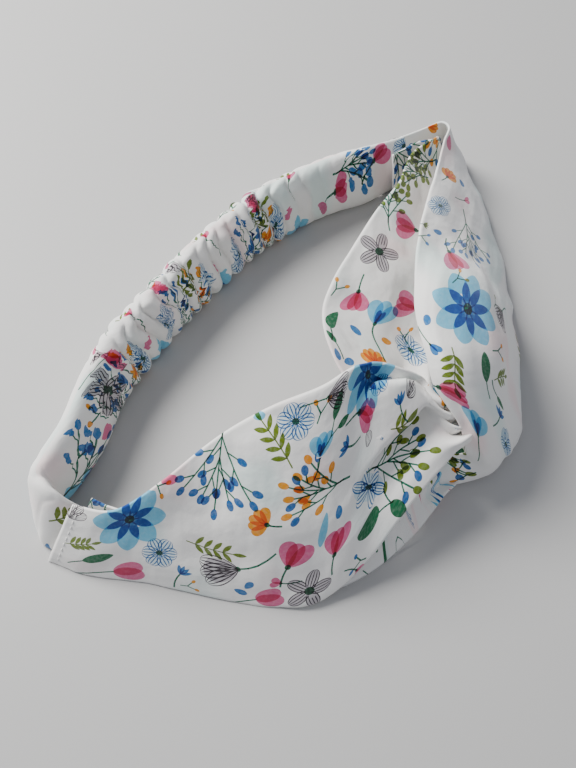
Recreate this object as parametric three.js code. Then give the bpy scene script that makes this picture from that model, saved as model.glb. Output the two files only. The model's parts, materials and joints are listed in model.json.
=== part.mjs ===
// A knotted headband of printed cotton. Two wide cloth strips are each folded back on
// themselves and hooked through one another at the front, which makes the knot. Their
// ends are sewn to a narrow gathered casing that holds the elastic at the nape.
// It lies as it does on a table: the loop stands on its lower edges and leans inwards.
// Millimetres, +Z up, origin at the middle of the loop's underside.
import * as THREE from 'three';

// ---- driving dimensions, mm and degrees ----

const loopWidth = 157; // between the outermost points where the loop rests, left to right
const loopDepth = 181; // the same, front to back
const stripWidth = 66; // widest part of a strip, pressed flat
const joinWidth = 28; // strip width where it is sewn to the casing
const stripThickness = 3; // two plies and the air between them
const clothWall = 0.7; // one ply with its lining
const layerGap = 1.6; // between the two layers of a folded strip
const restDip = 0.5; // how much of the rounded lower edge is pressed flat by the table

const knotPlace = [0.306, -0.144]; // knot centre, as shares of the loop's width and depth
const knotHeight = 13; // height of the middle of the knot
const hookWidth = 20; // left strip's width where it hooks round the right one
const hookThickness = 5; // left strip's thickness there, bunched
const hookReach = 20; // from the knot centre to the outside of the left strip's fold
const hookEntry = 22; // from the knot centre to where the left strip narrows to its hook
const hookFlare = 4; // how much wider it is there than round the fold
const crossWidth = 16; // right strip's width where it passes through the hook
const crossThickness = 7; // right strip's thickness there, bunched
const knotGap = 1.2; // between the strips where they cross
const wrapWidth = 11; // right strip's width where it wraps the left strip's fold
const wrapThickness = 12; // its thickness there
const armAngle = 210; // direction of the left arm, seen from the knot centre
const crossAngle = 93; // from the left arm to the way the right strip runs through its hook
const wrapClearance = 1.2; // between the left strip's fold and the wrap, at any swing

const casingWidth = 24; // gathered casing across the band
const casingLean = 77; // how steeply it stands on its edge
const mouthLean = 74; // the same beside the right strip's mouth
const casingThickness = 9; // gathered casing through the band
const casingWall = 1.2; // gathered cloth of the casing
const casingEndThickness = 5; // casing's end, pressed between the strip's two layers
const joinOverlap = 7; // how far the casing's end reaches between the layers
const mouthRoom = 2; // casing clear of a strip's mouth before it bends or swells
const bendRadius = 9; // the casing's bend out of the left strip's mouth
const joinGap = 0.6; // between the casing's end and each layer
const elasticWidth = 15;
const elasticThickness = 1.2;
const elasticEndGap = 2.5; // from the casing's end to the elastic's

const threadWidth = 1.6; // a run of machine stitching, across
const threadThickness = 0.6; // and through
const threadGap = 0.5; // between a run of stitching and the cloth round it
const joinStitchLength = 18; // stitches that close a strip's end over the casing's
const seamAllowance = 1.2; // from a strip's rounded edge to its long seam
const tackLength = 10; // stitches that hold the elastic's end
const tackDepth = 1; // along the band

// ---- vectors and stations ----
// A station is one cross-section of a band: its centre, the direction across the band,
// the width that way, and the thickness.

const rad = THREE.MathUtils.degToRad;

function direction(azimuth, lean) {
  const flat = Math.cos(rad(lean));
  return new THREE.Vector3(
    flat * Math.cos(rad(azimuth)), flat * Math.sin(rad(azimuth)), Math.sin(rad(lean)));
}

// A band standing on its lower edge. The place of that edge is given as shares of the
// loop's size; the band rises from it towards azimuth, at lean above the table.
function standing(xShare, yShare, width, azimuth, lean, lift = 0, thick = stripThickness) {
  const across = direction(azimuth, lean);
  const edge = new THREE.Vector3(xShare * loopWidth, yShare * loopDepth, 0);
  const rest = thick / 2 * (1 - Math.sin(rad(lean))) - restDip;
  edge.z = lift > 0 ? lift + thick / 2 : rest;
  return { centre: edge.addScaledVector(across, width / 2), across, width, thick };
}

// A band near the knot, placed by distance and angle from the knot centre.
function atKnot(distance, angle, height, width, azimuth, lean, thick) {
  const centre = new THREE.Vector3(knotPlace[0] * loopWidth, knotPlace[1] * loopDepth, height);
  centre.addScaledVector(direction(angle, 0), distance);
  return { centre, across: direction(azimuth, lean), width, thick };
}

// The way a band runs at one of its stations.
function alongAt(stations, i) {
  const before = stations[Math.max(i - 1, 0)].centre;
  const after = stations[Math.min(i + 1, stations.length - 1)].centre;
  return after.clone().sub(before).normalize();
}

// A station moved through the band by offset, above zero towards along cross across, and
// slid along the band's width so that it stays at its height.
function moved(station, offset, along) {
  const through = new THREE.Vector3().crossVectors(along, station.across).normalize();
  const centre = station.centre.clone().addScaledVector(through, offset);
  centre.addScaledVector(station.across, -offset * through.z / station.across.z);
  return { ...station, centre };
}

function turnedOver(station) {
  return { ...station, across: station.across.clone().negate() };
}

const rounding = 1e-9; // keeps a station's own place in the stretch that it starts

// Stations joined by a smooth curve and cut into steps per stretch.
function smooth(stations, steps) {
  const points = stations.map((s) => s.centre);
  const path = new THREE.CatmullRomCurve3(points, false, 'centripetal');
  const last = stations.length - 1;
  const frames = [];
  for (let i = 0; i <= last * steps; i += 1) {
    const t = i / (last * steps);
    const from = Math.min(Math.floor(t * last + rounding), last - 1);
    const share = t * last - from;
    const ease = share * share * (3 - 2 * share);
    const a = stations[from];
    const b = stations[from + 1];
    frames.push({
      centre: path.getPoint(t),
      along: path.getTangent(t),
      across: a.across.clone().lerp(b.across, ease).normalize(),
      width: THREE.MathUtils.lerp(a.width, b.width, ease),
      thick: THREE.MathUtils.lerp(a.thick, b.thick, ease),
    });
  }
  return frames;
}

// ---- lofted bands ----

const edgeSpan = 72; // half of the turn that a rounded edge makes, in degrees
const endAngles = [-1, -0.5, 0, 0.5, 1].map((share) => share * edgeSpan);

// Outline of a pressed band, anticlockwise: two straight sides and two rounded edges.
function outline(width, thick) {
  const round = Math.min(thick, width) / 2;
  const straight = Math.max(width / 2 - round, 0);
  const side = Math.sin(rad(edgeSpan));
  const right = endAngles.map((d) => [
    straight + round * Math.cos(rad(d)), thick / 2 * Math.sin(rad(d)) / side]);
  const left = right.map(([x, y]) => [-x, -y]);
  return [...right, ...left];
}

function ringAt(frame, width, thick, floor) {
  const normal = new THREE.Vector3().crossVectors(frame.along, frame.across).normalize();
  return outline(width, thick).map(([x, y]) => {
    const p = frame.centre.clone().addScaledVector(frame.across, x).addScaledVector(normal, y);
    p.z = Math.max(p.z, floor);
    return p;
  });
}

function quad(faces, a, b, c, d) {
  faces.push(a, b, c, a, c, d);
}

// A closed body from rings of points. With inner rings the band is a tube, open at both
// ends; without them it is solid, with capped ends.
function loft(outer, inner) {
  const count = outer[0].length;
  const points = [...outer.flat(), ...(inner ? inner.flat() : [])];
  const innerStart = outer.flat().length;
  const faces = [];
  const skin = (start, flip) => {
    for (let i = 0; i < outer.length - 1; i += 1) {
      for (let j = 0; j < count; j += 1) {
        const k = (j + 1) % count;
        const a = start + i * count + j;
        const b = start + i * count + k;
        if (flip) quad(faces, a, b, b + count, a + count);
        else quad(faces, a, a + count, b + count, b);
      }
    }
  };
  skin(0, false);
  const lastRing = (outer.length - 1) * count;
  if (inner) {
    skin(innerStart, true);
    for (let j = 0; j < count; j += 1) {
      const k = (j + 1) % count;
      quad(faces, j, k, innerStart + k, innerStart + j);
      const a = lastRing + j;
      const b = lastRing + k;
      quad(faces, a, innerStart + a, innerStart + b, b);
    }
  } else {
    for (let j = 1; j < count - 1; j += 1) {
      faces.push(0, j, j + 1);
      faces.push(lastRing, lastRing + j + 1, lastRing + j);
    }
  }
  const geometry = new THREE.BufferGeometry();
  const positions = points.flatMap((p) => [p.x, p.y, p.z]);
  geometry.setAttribute('position', new THREE.Float32BufferAttribute(positions, 3));
  geometry.setIndex(faces);
  return outwards(geometry);
}

// Turns every face round if the body's volume comes out negative.
function outwards(geometry) {
  const index = Array.from(geometry.index.array);
  const at = (i) => new THREE.Vector3().fromBufferAttribute(geometry.attributes.position, i);
  let volume = 0;
  for (let i = 0; i < index.length; i += 3) {
    const side = at(index[i + 1]).cross(at(index[i + 2]));
    volume += at(index[i]).dot(side);
  }
  if (volume < 0) {
    for (let i = 0; i < index.length; i += 3) {
      [index[i + 1], index[i + 2]] = [index[i + 2], index[i + 1]];
    }
    geometry.setIndex(index);
  }
  geometry.computeVertexNormals();
  return geometry;
}

function clothTube(frames, wall) {
  const outer = frames.map((f) => ringAt(f, f.width, f.thick, 0));
  const floor = wall - restDip;
  const inner = frames.map((f) => ringAt(f, f.width - 2 * wall, f.thick - 2 * wall, floor));
  return loft(outer, inner);
}

// A flat band that follows frames, moved across them by shift.
function flatBand(frames, width, thick, shift = () => 0) {
  const rings = frames.map((f) => {
    const normal = new THREE.Vector3().crossVectors(f.along, f.across).normalize();
    return [[1, -1], [1, 1], [-1, 1], [-1, -1]].map(([x, y]) => f.centre.clone()
      .addScaledVector(f.across, shift(f) + x * width / 2)
      .addScaledVector(normal, y * thick / 2));
  });
  return loft(rings, null);
}

// ---- the left strip: it hooks round the right one, its fold upright ----

const layerPitch = stripThickness + layerGap;
const joinPitch = stripThickness + casingEndThickness + 2 * joinGap;
const hookRise = crossThickness / 2 + knotGap + hookThickness / 2;
const hookSide = armAngle - 90;
const foldAngle = armAngle - 180;

// The two stations at a join keep the casing's end between the layers; from there on the
// layers lie against each other.
function innerLayer(stations, side) {
  return stations.map((s, i) => {
    const pitch = i < 2 ? joinPitch : layerPitch;
    return moved(s, side * pitch, alongAt(stations, i));
  });
}

const leftOuter = [
  standing(-0.478, -0.337, joinWidth, 50, 53),
  standing(-0.395, -0.359, joinWidth, 50, 53),
  standing(-0.274, -0.376, 0.59 * stripWidth, 71, 51),
  standing(-0.153, -0.398, 0.8 * stripWidth, 82, 45),
  standing(-0.032, -0.414, 0.97 * stripWidth, 89, 43),
  standing(0.07, -0.403, stripWidth, 91, 40, 3),
  standing(0.15, -0.343, 0.82 * stripWidth, 100, 33, 12),
];

function hookStation(distance, angle, rise, width, lean = 0) {
  return atKnot(distance, angle, knotHeight + rise, width, hookSide, lean, hookThickness);
}

const foldCentre = hookReach - hookThickness / 2 - hookRise;
const leftHook = [
  hookStation(hookEntry, armAngle, hookRise, hookWidth + hookFlare, 5),
  hookStation(0, 0, hookRise, hookWidth),
  ...[90, 45, 0, -45, -90].map((turn) => hookStation(
    foldCentre + hookRise * Math.cos(rad(turn)), foldAngle,
    hookRise * Math.sin(rad(turn)), hookWidth)),
  hookStation(0, 0, -hookRise, hookWidth),
  hookStation(hookEntry, armAngle, -hookRise, hookWidth + hookFlare, 4),
];

const leftInner = innerLayer(leftOuter, -1);
const leftStations = [...leftOuter, ...leftHook, ...leftInner.slice(0, -1).reverse()];

// ---- the right strip: its fold lies flat and wraps round the left one's ----

const foldCorner = Math.hypot(hookReach, hookWidth / 2);
const wrapRadius = foldCorner + wrapClearance + wrapWidth / 2;
const crossTravel = armAngle + crossAngle; // the way the cloth runs through the hook
const crossSide = crossTravel - 90;

const rightOuter = [
  standing(0.248, 0.464, joinWidth, 104, 74),
  standing(0.33, 0.517, joinWidth, 104, 74),
  standing(0.372, 0.546, joinWidth, 125, 86),
  standing(0.439, 0.583, joinWidth, 225, 72),
  standing(0.471, 0.503, 1.1 * joinWidth, 211, 60),
  standing(0.503, 0.392, 0.65 * stripWidth, 199, 47),
  standing(0.516, 0.265, 0.85 * stripWidth, 196, 43),
  standing(0.522, 0.144, 0.96 * stripWidth, 193, 45),
  standing(0.516, 0.055, 0.9 * stripWidth, 187, 47),
];

// The inner layer fans out from under the outer one towards the knot.
const rightInner = [
  ...innerLayer(rightOuter, 1).slice(0, 5),
  standing(0.47, 0.37, 0.78 * stripWidth, 203, 35),
  standing(0.475, 0.255, 0.97 * stripWidth, 198, 30),
  standing(0.478, 0.14, stripWidth, 193, 27),
];

function crossStation(distance, angle) {
  return atKnot(distance, angle, knotHeight, crossWidth, crossSide, 0, crossThickness);
}

function wrapStation(angle, azimuth = angle, inset = 0) {
  return atKnot(
    wrapRadius - inset, angle, knotHeight, wrapWidth, azimuth, 0, wrapThickness);
}

const rightHook = [
  atKnot(40, crossTravel - 184, 15, 0.6 * stripWidth, 203, 18, stripThickness),
  crossStation(24, crossTravel - 181),
  crossStation(0, 0),
  crossStation(20, crossTravel),
  wrapStation(-45, -85, 1),
  wrapStation(-20),
  wrapStation(5),
  wrapStation(30),
  wrapStation(52),
];
const rightStations = [
  ...rightInner, ...rightHook, ...rightOuter.map(turnedOver).reverse()];

// ---- the casing and what it holds ----

// The middle of the gap between a strip's two layers, distance in from the strip's end.
function betweenLayers(outer, side, distance) {
  const along = alongAt(outer, 0);
  const station = moved(outer[0], side * joinPitch / 2, along);
  station.centre.addScaledVector(along, distance);
  return { ...station, width: casingWidth, thick: casingEndThickness };
}

function casingStation(xShare, yShare, azimuth, lean = casingLean, thick = casingThickness) {
  return standing(xShare, yShare, casingWidth, azimuth, lean, 0, thick);
}

const rightAngle = 90;

// The casing's bend just outside the left strip's mouth, after turning by turn degrees.
function bendStation(turn) {
  const start = betweenLayers(leftOuter, -1, -mouthRoom);
  const out = alongAt(leftOuter, 0).setZ(0).normalize().negate();
  const inside = new THREE.Vector3(out.y, -out.x, 0);
  const centre = start.centre.clone()
    .addScaledVector(out, bendRadius * Math.sin(rad(turn)))
    .addScaledVector(inside, bendRadius * (1 - Math.cos(rad(turn))));
  const across = start.across.clone().lerp(direction(150, 80), turn / rightAngle).normalize();
  return { ...start, centre, across };
}

const casingStations = [
  betweenLayers(leftOuter, -1, joinOverlap),
  betweenLayers(leftOuter, -1, 0),
  ...[20, 50, 80].map(bendStation),
  casingStation(-0.397, -0.15, 180),
  casingStation(-0.37, -0.045, 165),
  casingStation(-0.3, 0.07, 152),
  casingStation(-0.235, 0.155, 145),
  casingStation(-0.143, 0.262, 140),
  casingStation(-0.035, 0.35, 130),
  casingStation(0.1, 0.415, 115, mouthLean),
  casingStation(0.175, 0.437, 108, mouthLean, 0.8 * casingThickness),
  betweenLayers(rightOuter, 1, -mouthRoom),
  betweenLayers(rightOuter, 1, 0),
  betweenLayers(rightOuter, 1, joinOverlap),
];

// Frames cut off at both ends by a length along the band.
function shortened(frames, cut) {
  const slid = (end, next) => {
    const way = next.centre.clone().sub(end.centre).normalize();
    return { ...end, centre: end.centre.clone().addScaledVector(way, cut) };
  };
  const ends = frames.length - 1;
  return frames.map((f, i) => {
    if (i === 0) return slid(f, frames[1]);
    return i === ends ? slid(f, frames[ends - 1]) : f;
  });
}

// A run of machine stitching inside a band, shift from its middle.
function seam(frames, shift) {
  return flatBand(frames, threadWidth, threadThickness, shift);
}

// A short straight run of stitches across a band, just beyond one of its end frames.
function endStitches(frame, beyond, width, depth, thick) {
  const near = frame.centre.clone().addScaledVector(frame.along, beyond);
  const far = frame.centre.clone().addScaledVector(frame.along, beyond + depth);
  return flatBand([{ ...frame, centre: near }, { ...frame, centre: far }], width, thick);
}

// ---- the headband ----

const cotton = { color: 0xf3f0ea, roughness: 0.85, metalness: 0 };
const whiteElastic = { color: 0xf5f5f2, roughness: 0.7, metalness: 0 };
const thread = { color: 0xfbfaf6, roughness: 0.6, metalness: 0 };
const headband = new THREE.Group();

function piece(name, geometry, finish) {
  const mesh = new THREE.Mesh(geometry, new THREE.MeshStandardMaterial(finish));
  mesh.name = name;
  headband.add(mesh);
}

const leftFrames = smooth(leftStations, 2);
const rightFrames = smooth(rightStations, 2);
const casingFrames = smooth(casingStations, 3);
const elasticFrames = shortened(casingFrames, elasticEndGap);
const casingEnds = {
  left: { ...casingFrames[0], along: casingFrames[0].along.clone().negate() },
  right: casingFrames[casingFrames.length - 1],
};
const casingSeamShift = () => elasticWidth / 2 + threadGap + threadWidth / 2;
const edgeSeamShift = (frame) => frame.width / 2 - frame.thick / 2 - seamAllowance;

piece('left_strip', clothTube(leftFrames, clothWall), cotton);
piece('right_strip', clothTube(rightFrames, clothWall), cotton);
piece('elastic_casing', clothTube(casingFrames, casingWall), cotton);
piece('elastic', flatBand(elasticFrames, elasticWidth, elasticThickness), whiteElastic);
piece('left_strip_seam', seam(leftFrames, edgeSeamShift), thread);
piece('right_strip_seam', seam(rightFrames, edgeSeamShift), thread);
piece('casing_seam', seam(casingFrames, casingSeamShift), thread);
for (const [side, frame] of Object.entries(casingEnds)) {
  piece(`${side}_join_stitching`,
    endStitches(frame, threadGap, joinStitchLength, threadWidth, threadWidth), thread);
  piece(`${side}_elastic_tack`,
    endStitches(frame, -elasticEndGap + threadGap, tackLength, tackDepth,
      elasticThickness), thread);
}

// ---- the origin: the middle of the loop's underside ----

const bounds = new THREE.Box3().setFromObject(headband);
const middle = bounds.getCenter(new THREE.Vector3());
headband.position.set(-middle.x, -middle.y, -bounds.min.z);

export default headband;
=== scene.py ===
# %% [markdown]
# # A knotted headband
#
# The real headband is sewn from three tubes of printed cotton and one elastic. Two wide tubes
# are pressed flat, folded double and hooked through each other, which makes the knot. Their
# ends are sewn to a narrow tube, gathered on the elastic that goes round the nape.
# The lesson lofts each tube through rows of creases, gathers the narrow one, and prints
# flowers on the cloth that stay sharp at any size.

# %% The frame, the tools and the units
import json

import bmesh
import bpy
import numpy as np
from mathutils import Vector, noise
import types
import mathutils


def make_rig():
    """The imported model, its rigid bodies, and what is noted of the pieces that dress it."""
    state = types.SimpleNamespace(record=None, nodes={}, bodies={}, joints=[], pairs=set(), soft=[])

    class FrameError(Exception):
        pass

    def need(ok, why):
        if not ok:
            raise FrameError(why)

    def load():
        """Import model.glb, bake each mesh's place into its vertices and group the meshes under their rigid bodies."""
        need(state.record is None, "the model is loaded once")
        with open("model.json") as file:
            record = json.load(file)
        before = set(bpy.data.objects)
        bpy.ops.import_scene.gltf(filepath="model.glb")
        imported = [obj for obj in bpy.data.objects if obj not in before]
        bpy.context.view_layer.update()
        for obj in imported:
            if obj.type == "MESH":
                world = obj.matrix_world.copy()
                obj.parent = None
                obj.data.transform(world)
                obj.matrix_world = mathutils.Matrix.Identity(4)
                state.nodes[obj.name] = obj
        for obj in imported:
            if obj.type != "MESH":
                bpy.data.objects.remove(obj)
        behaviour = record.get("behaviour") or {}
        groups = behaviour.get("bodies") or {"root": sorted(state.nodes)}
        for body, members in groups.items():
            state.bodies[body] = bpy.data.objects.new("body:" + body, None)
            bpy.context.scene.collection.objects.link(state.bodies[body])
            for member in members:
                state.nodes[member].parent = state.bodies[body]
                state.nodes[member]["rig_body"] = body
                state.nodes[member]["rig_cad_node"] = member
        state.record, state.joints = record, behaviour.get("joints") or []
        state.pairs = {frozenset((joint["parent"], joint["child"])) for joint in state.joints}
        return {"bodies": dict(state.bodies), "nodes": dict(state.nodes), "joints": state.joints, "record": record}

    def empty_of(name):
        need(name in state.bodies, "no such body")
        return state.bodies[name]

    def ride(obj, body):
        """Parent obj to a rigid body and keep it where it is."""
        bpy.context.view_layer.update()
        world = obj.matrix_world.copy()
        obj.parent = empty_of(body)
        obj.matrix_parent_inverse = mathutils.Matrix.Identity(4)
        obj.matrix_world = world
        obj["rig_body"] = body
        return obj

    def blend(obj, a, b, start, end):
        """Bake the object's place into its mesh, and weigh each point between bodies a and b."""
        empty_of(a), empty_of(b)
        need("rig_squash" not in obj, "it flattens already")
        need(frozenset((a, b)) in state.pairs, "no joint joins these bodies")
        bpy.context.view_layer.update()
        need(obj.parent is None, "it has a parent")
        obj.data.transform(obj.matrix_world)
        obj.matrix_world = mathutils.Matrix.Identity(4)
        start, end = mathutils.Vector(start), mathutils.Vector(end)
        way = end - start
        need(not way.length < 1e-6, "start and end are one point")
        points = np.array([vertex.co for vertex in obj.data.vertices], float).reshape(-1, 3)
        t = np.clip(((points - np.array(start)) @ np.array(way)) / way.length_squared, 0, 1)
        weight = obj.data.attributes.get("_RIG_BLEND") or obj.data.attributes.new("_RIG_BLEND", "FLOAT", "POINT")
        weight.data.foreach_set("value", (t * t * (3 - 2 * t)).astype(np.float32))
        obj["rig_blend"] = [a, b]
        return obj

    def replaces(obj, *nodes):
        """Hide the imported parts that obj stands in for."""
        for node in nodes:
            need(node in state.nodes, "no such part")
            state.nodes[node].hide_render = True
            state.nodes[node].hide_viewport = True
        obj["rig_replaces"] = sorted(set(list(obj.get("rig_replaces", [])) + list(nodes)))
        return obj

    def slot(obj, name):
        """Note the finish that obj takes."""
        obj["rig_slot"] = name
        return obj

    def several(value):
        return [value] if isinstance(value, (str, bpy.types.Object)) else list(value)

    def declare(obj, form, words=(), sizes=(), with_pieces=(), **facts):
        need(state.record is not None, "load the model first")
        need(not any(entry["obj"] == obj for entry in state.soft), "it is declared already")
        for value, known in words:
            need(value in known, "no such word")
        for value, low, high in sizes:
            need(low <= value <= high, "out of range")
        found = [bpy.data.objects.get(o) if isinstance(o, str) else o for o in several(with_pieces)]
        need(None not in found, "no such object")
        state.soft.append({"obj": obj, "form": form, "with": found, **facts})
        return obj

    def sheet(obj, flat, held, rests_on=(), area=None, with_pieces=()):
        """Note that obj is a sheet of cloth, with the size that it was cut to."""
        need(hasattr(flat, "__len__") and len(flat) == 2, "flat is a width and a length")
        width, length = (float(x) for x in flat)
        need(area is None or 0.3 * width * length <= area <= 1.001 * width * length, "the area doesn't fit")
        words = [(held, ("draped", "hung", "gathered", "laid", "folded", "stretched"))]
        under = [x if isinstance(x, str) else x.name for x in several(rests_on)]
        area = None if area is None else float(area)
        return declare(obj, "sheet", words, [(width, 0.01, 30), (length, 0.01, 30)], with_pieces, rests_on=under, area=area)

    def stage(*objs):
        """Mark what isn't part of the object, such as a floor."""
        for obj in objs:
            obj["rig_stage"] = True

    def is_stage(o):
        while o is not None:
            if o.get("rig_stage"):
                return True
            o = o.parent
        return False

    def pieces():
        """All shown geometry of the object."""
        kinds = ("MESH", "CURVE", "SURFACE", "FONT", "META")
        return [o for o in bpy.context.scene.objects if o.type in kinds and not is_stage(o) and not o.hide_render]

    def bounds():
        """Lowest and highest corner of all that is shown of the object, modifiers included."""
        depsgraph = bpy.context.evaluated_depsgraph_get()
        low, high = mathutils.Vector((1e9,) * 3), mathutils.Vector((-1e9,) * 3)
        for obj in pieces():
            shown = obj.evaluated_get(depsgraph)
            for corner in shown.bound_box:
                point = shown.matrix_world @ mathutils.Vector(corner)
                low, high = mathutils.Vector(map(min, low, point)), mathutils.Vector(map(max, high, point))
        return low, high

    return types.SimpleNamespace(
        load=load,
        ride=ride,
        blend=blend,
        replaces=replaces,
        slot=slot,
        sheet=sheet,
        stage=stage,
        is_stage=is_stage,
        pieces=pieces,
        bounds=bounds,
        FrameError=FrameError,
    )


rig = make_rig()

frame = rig.load()
cad_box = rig.bounds()
MM = 0.001
KNOT_MM = np.array([48.04, -26.06, 13.0])  # the knot, in the millimetres used below
knot_home = np.array(frame["joints"][0]["pos_m"])


def placed(points):
    """Millimetres to metres in the shared frame, by way of the knot."""
    return (np.asarray(points, float) - KNOT_MM) * MM + knot_home


print("knot at", knot_home, "CAD box", [tuple(round(x, 4) for x in corner) for corner in cad_box])

# %% [markdown]
# ## Folding a strip of cloth
#
# A pressed strip could be sculpted, simulated or lofted. A simulation seldom falls into one
# particular knot, so each strip is lofted: a few rows across it give the two pressed edges and
# seven creases between them. On the open arms the creases are only marks on smooth cloth; at
# the knot they are set one by one; and inside it the cloth goes to and fro like a fan.


# %% Curves through the rows
def through(values, knots, at):
    """Values at the distances at, on a smooth curve through the rows' values."""
    values = np.asarray(values, float).reshape(len(knots), -1)
    step = np.diff(knots)[:, None]
    slope = np.diff(values, axis=0) / step
    middle = (slope[:-1] * step[1:] + slope[1:] * step[:-1]) / (step[1:] + step[:-1])
    tangent = np.vstack([slope[:1], middle, slope[-1:]])
    i = np.clip(np.searchsorted(knots, at, side="right") - 1, 0, len(step) - 1)
    h = step[i]
    x = (at - knots[i])[:, None] / h
    start = (2 * x**3 - 3 * x**2 + 1) * values[i] + (x**3 - 2 * x**2 + x) * h * tangent[i]
    return start + (3 * x**2 - 2 * x**3) * values[i + 1] + (x**3 - x**2) * h * tangent[i + 1]


def ease(x):
    x = np.clip(x, 0, 1)
    return x * x * (3 - 2 * x)


def distances(points):
    """How far along the row of points each one is."""
    return np.concatenate([[0], np.cumsum(np.linalg.norm(np.diff(points, axis=0), axis=1))])


def unit(v):
    return v / np.linalg.norm(v, axis=-1, keepdims=True)


# %% One cross-section of folded cloth
POINTS = 9  # a row's points from its first edge to its second, one at each crease
EVEN = np.linspace(0, 1, POINTS)


def row(points, offsets=None):
    return np.array(points, float), np.zeros(POINTS) if offsets is None else np.array(offsets, float)


def spread(first, second, crown=0.0):
    """A smooth row that bulges by crown mm in the middle."""
    first, second = np.array(first, float), np.array(second, float)
    return row(first + EVEN[:, None] * (second - first), 4 * crown * EVEN * (1 - EVEN))


def bunched(first, second, cloth, pattern=(0, 1, -1, 1, -1, 1, -1, 1, 0)):
    """A row pleated to and fro like a fan, with the depth that takes up the cloth's width."""
    points, _ = spread(first, second)
    chord = np.linalg.norm(points[-1] - points[0])
    depth = np.sqrt(max(cloth**2 - chord**2, 0)) / np.abs(np.diff(pattern)).sum()
    return row(points, depth * np.array(pattern))


FINE = 10  # columns of the mesh from one crease to the next


def section(points):
    """Columns across every station, with rounded creases."""
    share = np.arange(FINE) / FINE
    parts = [points[:, j : j + 1] + share[:, None] * (points[:, j + 1 : j + 2] - points[:, j : j + 1])
             for j in range(POINTS - 1)]
    line = np.concatenate(parts + [points[:, -1:]], axis=1)
    for _ in range(4):
        line[:, 1:-1] = 0.25 * line[:, :-2] + 0.5 * line[:, 1:-1] + 0.25 * line[:, 2:]
    return line


# %% A strip's two skins
PRESSED = 0.85  # mm through a pressed strip: two plies and their turnings


def strip_skins(rows, side, step=0.95, seed=3.0):
    """Front and back skins of a strip, and how far along and across the cloth each point is."""
    points = np.array([r[0] for r in rows])
    offsets = np.array([r[1] for r in rows])
    knots = distances(points.mean(axis=1))
    at = np.linspace(0, knots[-1], int(knots[-1] / step) + 1)
    points = through(points, knots, at).reshape(-1, POINTS, 3)
    offsets = through(offsets, knots, at)
    across = unit(points[:, -1] - points[:, 0])
    forward = unit(np.gradient(points.mean(axis=1), axis=0))
    out = side * unit(np.cross(forward, across))
    middle = section(points + offsets[..., None] * out[:, None])
    v = np.cumsum(np.linalg.norm(np.diff(middle, axis=1), axis=2), axis=1)
    v = np.hstack([np.zeros((len(at), 1)), v])
    u = np.repeat(at[:, None], v.shape[1], axis=1)
    normal = side * unit(np.cross(np.gradient(middle, axis=0), np.gradient(middle, axis=1)))
    middle = middle + crumple(at, v, seed)[..., None] * normal
    inset = np.minimum(v, v[:, -1:] - v)
    round_off = np.sqrt(1 - (1 - np.clip(inset / 0.5, 0, 1)) ** 2)
    half = PRESSED / 2 * (0.25 + 0.75 * round_off)[..., None] * (inset > 0)[..., None]
    front, back = middle + half * normal, middle - half * normal
    for skin in (front, back):
        skin[..., 2] = np.maximum(skin[..., 2], 0)
    return front, back, u, v


def crumple(u, v, seed):
    """Small soft waves of handled cotton, in mm."""
    spots = np.zeros(v.shape)
    coarse_u = np.arange(0, u[-1] + 4, 3.0)
    coarse_v = np.arange(0, v.max() + 4, 3.0)
    field = np.array([[noise.noise(Vector((a / 21, b / 13, seed))) + 0.45 * noise.noise(
        Vector((a / 8 + b / 30, b / 7, seed + 9))) for b in coarse_v] for a in coarse_u])
    i = np.clip((u / 3).astype(int), 0, len(coarse_u) - 2)
    fi = ease(u / 3 - i)
    for n in range(v.shape[0]):
        line = field[i[n]] * (1 - fi[n]) + field[i[n] + 1] * fi[n]
        spots[n] = np.interp(v[n], coarse_v, line)
    return spots * 1.1


# %% From skins to a closed mesh
def cloth_object(name, ring, u, v):
    """A closed tube of quads through ring[row, place round], with the cloth's own flat
    coordinates, in mm, as its UV map."""
    rows, cols = ring.shape[:2]
    bm = bmesh.new()
    bmesh.ops.create_grid(bm, x_segments=cols, y_segments=rows - 1, size=1)
    mesh = bpy.data.meshes.new(name)
    bm.to_mesh(mesh)
    co = np.empty(len(mesh.vertices) * 3)
    mesh.vertices.foreach_get("co", co)
    co = co.reshape(-1, 3)
    col = np.rint((co[:, 0] + 1) / 2 * cols).astype(int)
    row = np.rint((co[:, 1] + 1) / 2 * (rows - 1)).astype(int)
    mesh.vertices.foreach_set("co", placed(ring[row, col % cols]).ravel())
    corner = np.empty(len(mesh.loops), int)
    mesh.loops.foreach_get("vertex_index", corner)
    flat = np.stack([u[row, col], v[row, col]], axis=1)[corner]
    mesh.uv_layers.new(name="cloth").data.foreach_set("uv", flat.astype(np.float32).ravel())
    bm.clear()
    bm.from_mesh(mesh)
    bmesh.ops.remove_doubles(bm, verts=bm.verts, dist=1e-7)
    ends = [e for e in bm.edges if e.is_boundary]
    bmesh.ops.holes_fill(bm, edges=ends, sides=0)
    bmesh.ops.recalc_face_normals(bm, faces=bm.faces)
    bm.to_mesh(mesh)
    bm.free()
    mesh.shade_smooth()
    piece = bpy.data.objects.new(name, mesh)
    bpy.context.scene.collection.objects.link(piece)
    print(name, len(mesh.polygons), "faces, cloth", round(float(u.max())), "x", round(float(v.max())), "mm")
    return piece


def strip_object(name, skins):
    front, back, u, v = skins
    ring = np.concatenate([front, back[:, -2:0:-1]], axis=1)
    v = np.hstack([v, 2 * v[:, -1:] - v[:, -2::-1]])
    u = np.hstack([u, u[:, -2::-1]])
    return cloth_object(name, ring, u, v)


# %% [markdown]
# ## The left strip
#
# Its outer layer is the long arm that lies towards the viewer. It runs up over the knot in
# pleats, hooks round the right strip and comes back behind itself.

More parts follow.
